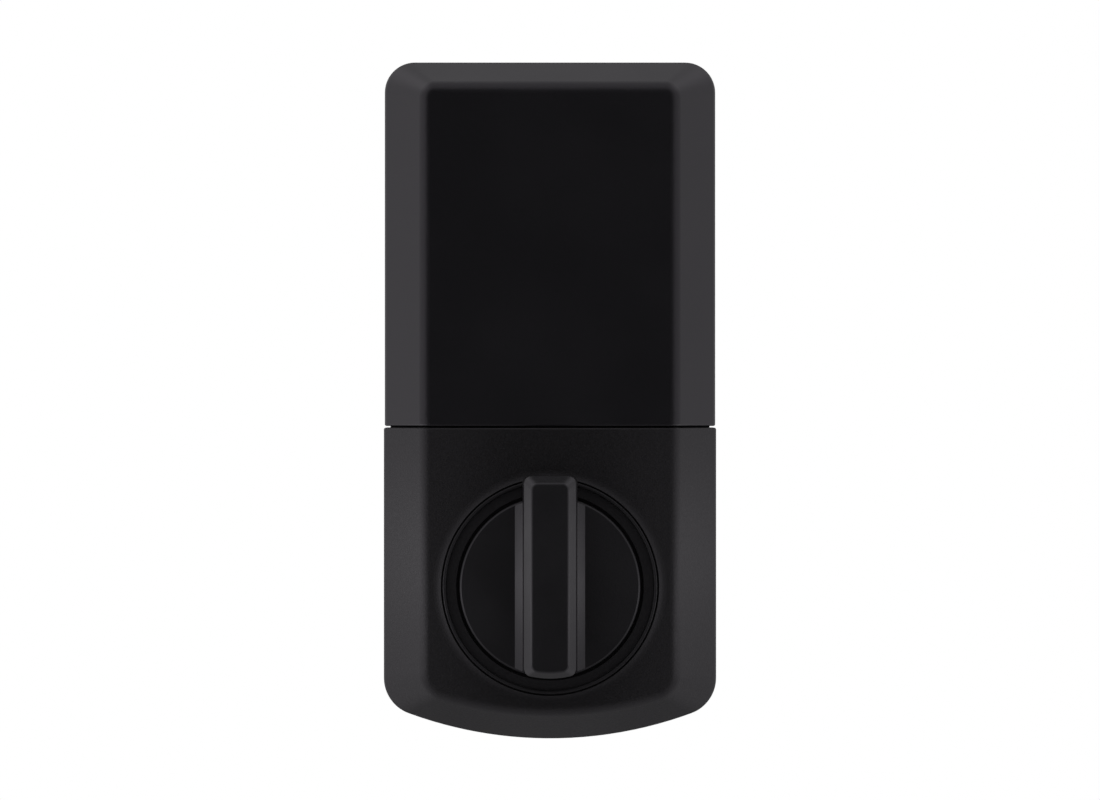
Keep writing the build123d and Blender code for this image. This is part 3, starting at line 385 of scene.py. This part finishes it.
# %% Assign the finishes
finishes = {
    "satin_black_cover": satin_cover(),
    "textured_black_paint": powder_coat(),
    "knob_black_paint": knob_paint(),
    "ring_black": ring_black(),
    "chassis_black": moulding("chassis_black", (0.012, 0.012, 0.013), (0.02, 0.02, 0.021), 0.5),
    "zinc_plated_steel": sheet_metal("zinc_plated_steel", (0.62, 0.63, 0.62), "z", 0.34),
    "turned_steel": plated("turned_steel", (0.56, 0.56, 0.56), 0.3),
    "spring_steel": sheet_metal("spring_steel", (0.5, 0.51, 0.53), "x", 0.28),
    "screw_steel": plated("screw_steel", (0.6, 0.6, 0.61), 0.26),
    "nickel_contact": plated("nickel_contact", (0.7, 0.68, 0.63), 0.2),
    "gear_brass": plated("gear_brass", (0.72, 0.5, 0.2), 0.26),
    "gear_nylon": moulding("gear_nylon", (0.62, 0.6, 0.52), (0.72, 0.7, 0.62), 0.35, 0.5, 0.006),
    "bush_bronze": plated("bush_bronze", (0.52, 0.29, 0.14), 0.4),
    "motor_steel": sheet_metal("motor_steel", (0.66, 0.66, 0.65), "x", 0.3),
    "magnet_nickel": plated("magnet_nickel", (0.66, 0.66, 0.66), 0.15),
    "board_green": solder_mask(),
    "chip_black": moulding(
        "chip_black", (0.013, 0.013, 0.014), (0.022, 0.022, 0.023), 0.48, 0.25, 0.006
    ),
    "shield_tin": sheet_metal("shield_tin", (0.7, 0.7, 0.7), "x", 0.25),
    "capacitor_aluminium": plated("capacitor_aluminium", (0.74, 0.75, 0.77), 0.3),
    "pale_nylon": moulding("pale_nylon", (0.66, 0.63, 0.52), (0.76, 0.73, 0.62), 0.42, 0.5, 0.006),
    "button_red": moulding("button_red", (0.3, 0.018, 0.014), (0.42, 0.03, 0.022), 0.4),
    "switch_blue": moulding("switch_blue", (0.012, 0.035, 0.17), (0.02, 0.055, 0.24), 0.4),
    "slider_white": moulding("slider_white", (0.7, 0.7, 0.66), (0.8, 0.8, 0.77), 0.38),
    "lead_red": moulding("lead_red", (0.34, 0.012, 0.01), (0.45, 0.02, 0.015), 0.42, 0.6),
    "lead_black": moulding("lead_black", (0.008, 0.008, 0.008), (0.014, 0.014, 0.014), 0.42, 0.6),
    "cell_sleeve": cell_sleeve(),
}
for part in frame["record"]["subparts"]:
    piece = nodes[part["node"]]
    finish = finishes[part["material_slot"]]
    if piece.material_slots:
        for slot in piece.material_slots:
            slot.material = finish
    else:
        piece.data.materials.append(finish)
print("finishes:", len(finishes))

# %% [markdown]
# ## Tools for small pieces
# Small pieces are modelled in millimetres with bmesh. `finished` closes that work: it points the
# faces outward, scales the mesh to metres, and makes an object that wears one of the finishes and
# rides on a CAD body. `brick` is a block that stands on a face and comes toward the room, with
# every edge softened, because no real edge is perfectly sharp.


# %% Tools
def finished(mesh, name, slot, body="base"):
    data = bpy.data.meshes.new(name)
    bmesh.ops.recalc_face_normals(mesh, faces=mesh.faces)
    bmesh.ops.scale(mesh, vec=(mm, mm, mm), verts=mesh.verts)
    mesh.to_mesh(data)
    mesh.free()
    data.materials.append(finishes[slot])
    piece = bpy.data.objects.new(name, data)
    scene.collection.objects.link(piece)
    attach(piece, body)
    print(name, "faces:", len(data.polygons))


def brick(mesh, foot, width, height, rise, soft, sink=0.0):
    """foot is the middle of the face it stands on; sink is how far it reaches into that face."""
    centre = Vector(foot) + Vector((0.0, (sink - rise) / 2, 0.0))
    shape = Matrix.Translation(centre) @ Matrix.Diagonal((width, rise + sink, height, 1.0))
    made = bmesh.ops.create_cube(mesh, size=1.0, matrix=shape)
    edges = {edge for vert in made["verts"] for edge in vert.link_edges}
    bmesh.ops.bevel(
        mesh, geom=list(edges), offset=soft, segments=2, profile=0.5, affect="EDGES", material=-1
    )


# %% [markdown]
# ## Chip legs
# The CAD model has the chips' bodies. Their legs are strips of plated metal that leave the body,
# bend down and lie flat on the board. A strip starts as a grid of three squares. Its four rows of
# points are moved onto the bent profile, and solidify gives it a thickness. Each chip is given by
# its left and right side, its lower and upper end, and the pitch of its legs.

# %% Chip legs
chips = {
    "processor": (-11, -1, 66, 76, 0.8),
    "motor_driver": (4, 9, 64, 68, 1.0),
    "regulator": (-20, -14, 56, 60, 1.27),
    "memory": (12, 17, 56, 61, 1.27),
}
leg_profile = [(-0.2, 0.5), (0.2, 0.5), (0.4, 0.12), (0.85, 0.1)]
leg_thickness = 0.09
leg_share = 0.42
bare_ends = 0.6


def leg(mesh, place, turn, width):
    """One bent leg at the side of a chip; turn is 0 on the right side and pi on the left."""
    strip = bmesh.ops.create_grid(mesh, x_segments=3, y_segments=1, size=0.5)["verts"]
    strip.sort(key=lambda vert: vert.co.x)
    for index, vert in enumerate(strip):
        out, rise = leg_profile[index // 2]
        vert.co = Vector((out, -rise, vert.co.y * width))
    faces = list({face for vert in strip for face in vert.link_faces})
    made = bmesh.ops.solidify(mesh, geom=faces, thickness=leg_thickness)["geom"]
    skin = [item for item in made if isinstance(item, bmesh.types.BMFace)]
    verts = {vert for face in skin for vert in face.verts} | set(strip)
    move = Matrix.Translation(place) @ Matrix.Rotation(turn, 4, "Y")
    bmesh.ops.transform(mesh, matrix=move, verts=list(verts))


legs = bmesh.new()
for left, right, low, high, pitch in chips.values():
    count = int((high - low - bare_ends) / pitch)
    for index in range(count):
        height = (low + high) / 2 + (index - (count - 1) / 2) * pitch
        leg(legs, (right, board_face, height), 0.0, pitch * leg_share)
        leg(legs, (left, board_face, height), pi, pitch * leg_share)
finished(legs, "chip_legs", "nickel_contact")

# %% [markdown]
# ## Resistors
# Short rows of resistors lie round the chips. Each is a dark brick with a metal cap at both ends,
# standing on the board. A row is given by the place of its first resistor, in x and z, and by how
# many it has, counted to the right.

# %% Resistors
resistor_rows = [
    (-12.5, 80.0, 5), (-4.0, 80.0, 4), (11.5, 66.0, 4),
    (11.5, 71.0, 3), (-22.0, 63.5, 4), (1.5, 58.0, 4),
]
resistor_pitch = 1.5
resistor_size = (0.8, 1.1, 0.5)
cap_size = (0.86, 0.4, 0.53)
cap_offset = 0.7
resistors = bmesh.new()
caps = bmesh.new()
for row_x, row_z, count in resistor_rows:
    for index in range(count):
        x = row_x + index * resistor_pitch
        brick(resistors, (x, board_face, row_z), *resistor_size, soft=0.05)
        for side in (-1, 1):
            brick(caps, (x, board_face, row_z + side * cap_offset), *cap_size, soft=0.07)
finished(resistors, "resistor_bodies", "chip_black")
finished(caps, "resistor_end_caps", "nickel_contact")

# %% [markdown]
# ## Rims of the cells' sleeves
# Each cell's printed sleeve is shrunk over the can's edge, which leaves a thin rolled rim at both
# ends. A rim is a small circle spun round the cell's axis. A cell's can starts one nub above the
# bay's lower contact if its nub is down, and ends one nub below the upper contact if it is up.

# %% Sleeve rims
cell_columns = [(-1.5, False), (-0.5, True), (0.5, False), (1.5, True)]
sleeve_length = 49.5
nub_height = 1.0
rim_radius = 6.62
rim_wire = 0.16
rim_inset = 0.05


def rim(mesh, centre):
    """A ring of round wire about an upright axis."""
    start = Matrix.Translation(centre + Vector((rim_radius, 0.0, 0.0)))
    upright = start @ Matrix.Rotation(radians(90), 4, "X")
    made = bmesh.ops.create_circle(mesh, segments=10, radius=rim_wire, cap_ends=False, matrix=upright)
    verts = made["verts"]
    edges = list({edge for vert in verts for edge in vert.link_edges})
    bmesh.ops.spin(
        mesh, geom=verts + edges, cent=centre, axis=(0.0, 0.0, 1.0), dvec=(0, 0, 0),
        angle=2 * pi, steps=64, use_merge=True, use_duplicate=False,
    )


for index, (column, nub_down) in enumerate(cell_columns):
    lowest = bay_low + nub_height if nub_down else bay_high - nub_height - sleeve_length
    sleeve = bmesh.new()
    for height in (lowest + rim_inset, lowest + sleeve_length - rim_inset):
        rim(sleeve, Vector((column * cell_pitch, cell_axis_y, height)))
    finished(sleeve, f"sleeve_rims_{index + 1}", "lead_black")

# %% [markdown]
# ## Plus and minus marks
# Below each cell the tray has a raised plus or minus, so that the batteries go in the right way
# round: a lying bar, and a standing bar across it where the nub is down. The marks are part of
# the tray's moulding, so they sink a little into its face.

# %% Marks
mark_height = 46.5
mark_long, mark_short = 2.4, 0.6
mark_rise = 0.35
mark_sink = 0.1
marks = bmesh.new()
for column, nub_down in cell_columns:
    foot = (column * cell_pitch, tray_face, mark_height)
    brick(marks, foot, mark_long, mark_short, mark_rise, soft=0.1, sink=mark_sink)
    if nub_down:
        brick(marks, foot, mark_short, mark_long, mark_rise + 0.01, soft=0.1, sink=mark_sink)
finished(marks, "polarity_marks", "chassis_black")

# %% [markdown]
# ## Walls of light
# The lock hangs in a white studio, as a catalogue picture shows it. White walls stand left and
# right, a dimmer one hangs overhead and the dimmest lies below. So the sloping margins shine,
# while the flat front, which mirrors the dark side of the room, stays nearly black. The walls are
# painted into the world as smooth ramps over the direction: x runs from left to right and z runs
# up. Each is given by where it starts, where it is full, and how bright it is there. The camera
# itself sees plain white behind the lock.

# %% Studio world
world = bpy.data.worlds.new("studio")
scene.world = world
world.use_nodes = True
room = Graph(world.node_tree)
across, _, up = room.split(room.node("ShaderNodeTexCoord", {}, output="Generated"))
walls = {
    "left": (across, -0.18, -0.85, 0.66),
    "right": (across, 0.18, 0.85, 0.54),
    "overhead": (up, 0.3, 0.9, 0.52),
    "below": (up, -0.4, -0.95, 0.3),
}
dark_side = 0.05
wall_tint = (1.0, 0.985, 1.01)
white = (1.0, 1.0, 1.0)
light = dark_side
for direction, start, full, strength in walls.values():
    light = direction.ramp(start, full, 0.0, strength) + light
tinted = room.node("ShaderNodeVectorMath", {0: light, 1: wall_tint}, operation="MULTIPLY")
to_camera = room.node("ShaderNodeLightPath", {}, output="Is Camera Ray")
room.feed(room.tree.nodes["Background"].inputs["Color"], to_camera.mix(tinted, white))
print("walls of light:", len(walls))

# %% [markdown]
# ## Lamps
# Two small strips of light stand beside the lower cover, a little in front of it. They graze its
# face, and add only a little to the light of the walls. They are hidden from the camera.


# %% Lamps
strip_reach = 0.075
strip_front = -0.058
strip_height = -0.002
strip_width, strip_length = 0.02, 0.09


def strip_light(name, side, watts):
    lamp_data = bpy.data.lights.new(name, "AREA")
    lamp_data.shape = "RECTANGLE"
    lamp_data.size = strip_width
    lamp_data.size_y = strip_length
    lamp_data.energy = watts
    place = Vector((side * strip_reach, strip_front, strip_height))
    aim = Vector((0.0, cover_front * mm, strip_height))
    turn = (aim - place).to_track_quat("-Z", "Z").to_matrix().to_4x4()
    lamp = bpy.data.objects.new(name, lamp_data)
    lamp.matrix_world = Matrix.Translation(place) @ turn
    lamp.visible_camera = False
    scene.collection.objects.link(lamp)


strip_light("strip_left", -1, 0.006)
strip_light("strip_right", 1, 0.005)

# %% [markdown]
# ## Floor
# A pale floor lies well below the lock. It is hidden from mirrored rays, so that the slope along
# the lower edge mirrors only the dim wall of light below.

# %% Floor
floor_drop = 0.4
floor_size = 3.0
pale = Finish("pale_floor")
pale_tone = pale.noise(40.0).mix((0.8, 0.8, 0.8), (0.83, 0.83, 0.83))
plane = bmesh.new()
bmesh.ops.create_grid(plane, x_segments=1, y_segments=1, size=floor_size)
bmesh.ops.translate(plane, verts=plane.verts, vec=(0.0, 0.0, cad_box[0][2] - floor_drop))
floor_mesh = bpy.data.meshes.new("floor")
plane.to_mesh(floor_mesh)
plane.free()
floor_mesh.materials.append(pale.use(Base_Color=pale_tone, Roughness=0.8))
floor = bpy.data.objects.new("floor", floor_mesh)
scene.collection.objects.link(floor)
floor.visible_glossy = False
floor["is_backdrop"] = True
print("floor at:", round(cad_box[0][2] - floor_drop, 3), "m")

# %% [markdown]
# ## Camera
# The camera looks straight at the front from far away, with a long lens, so that the sides hardly
# show. The lens follows from how wide the view is and how far the camera stands off.

# %% Camera
middle = Vector((0.0, -0.03, 0.0395))
view_width = 0.2332
stand_off = 2.4
camera_data = bpy.data.cameras.new("camera")
camera_data.sensor_width = 36.0
camera_data.lens = camera_data.sensor_width * stand_off / view_width
camera_data.clip_start = 0.05
camera_data.clip_end = 50.0
camera = bpy.data.objects.new("camera", camera_data)
camera.location = (0.0, middle.y - stand_off, middle.z)
camera.rotation_euler = (radians(90), 0.0, 0.0)
scene.collection.objects.link(camera)
scene.camera = camera
scene.view_settings.view_transform = "Standard"
scene.view_settings.look = "None"
print("lens in mm:", round(camera_data.lens, 1))

# %% Finish
both = {"cad": [list(v) for v in cad_box], "visual": [list(v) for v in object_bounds()]}
print("visual size in mm:", [round((hi - lo) / mm, 1) for lo, hi in zip(*both["visual"])])
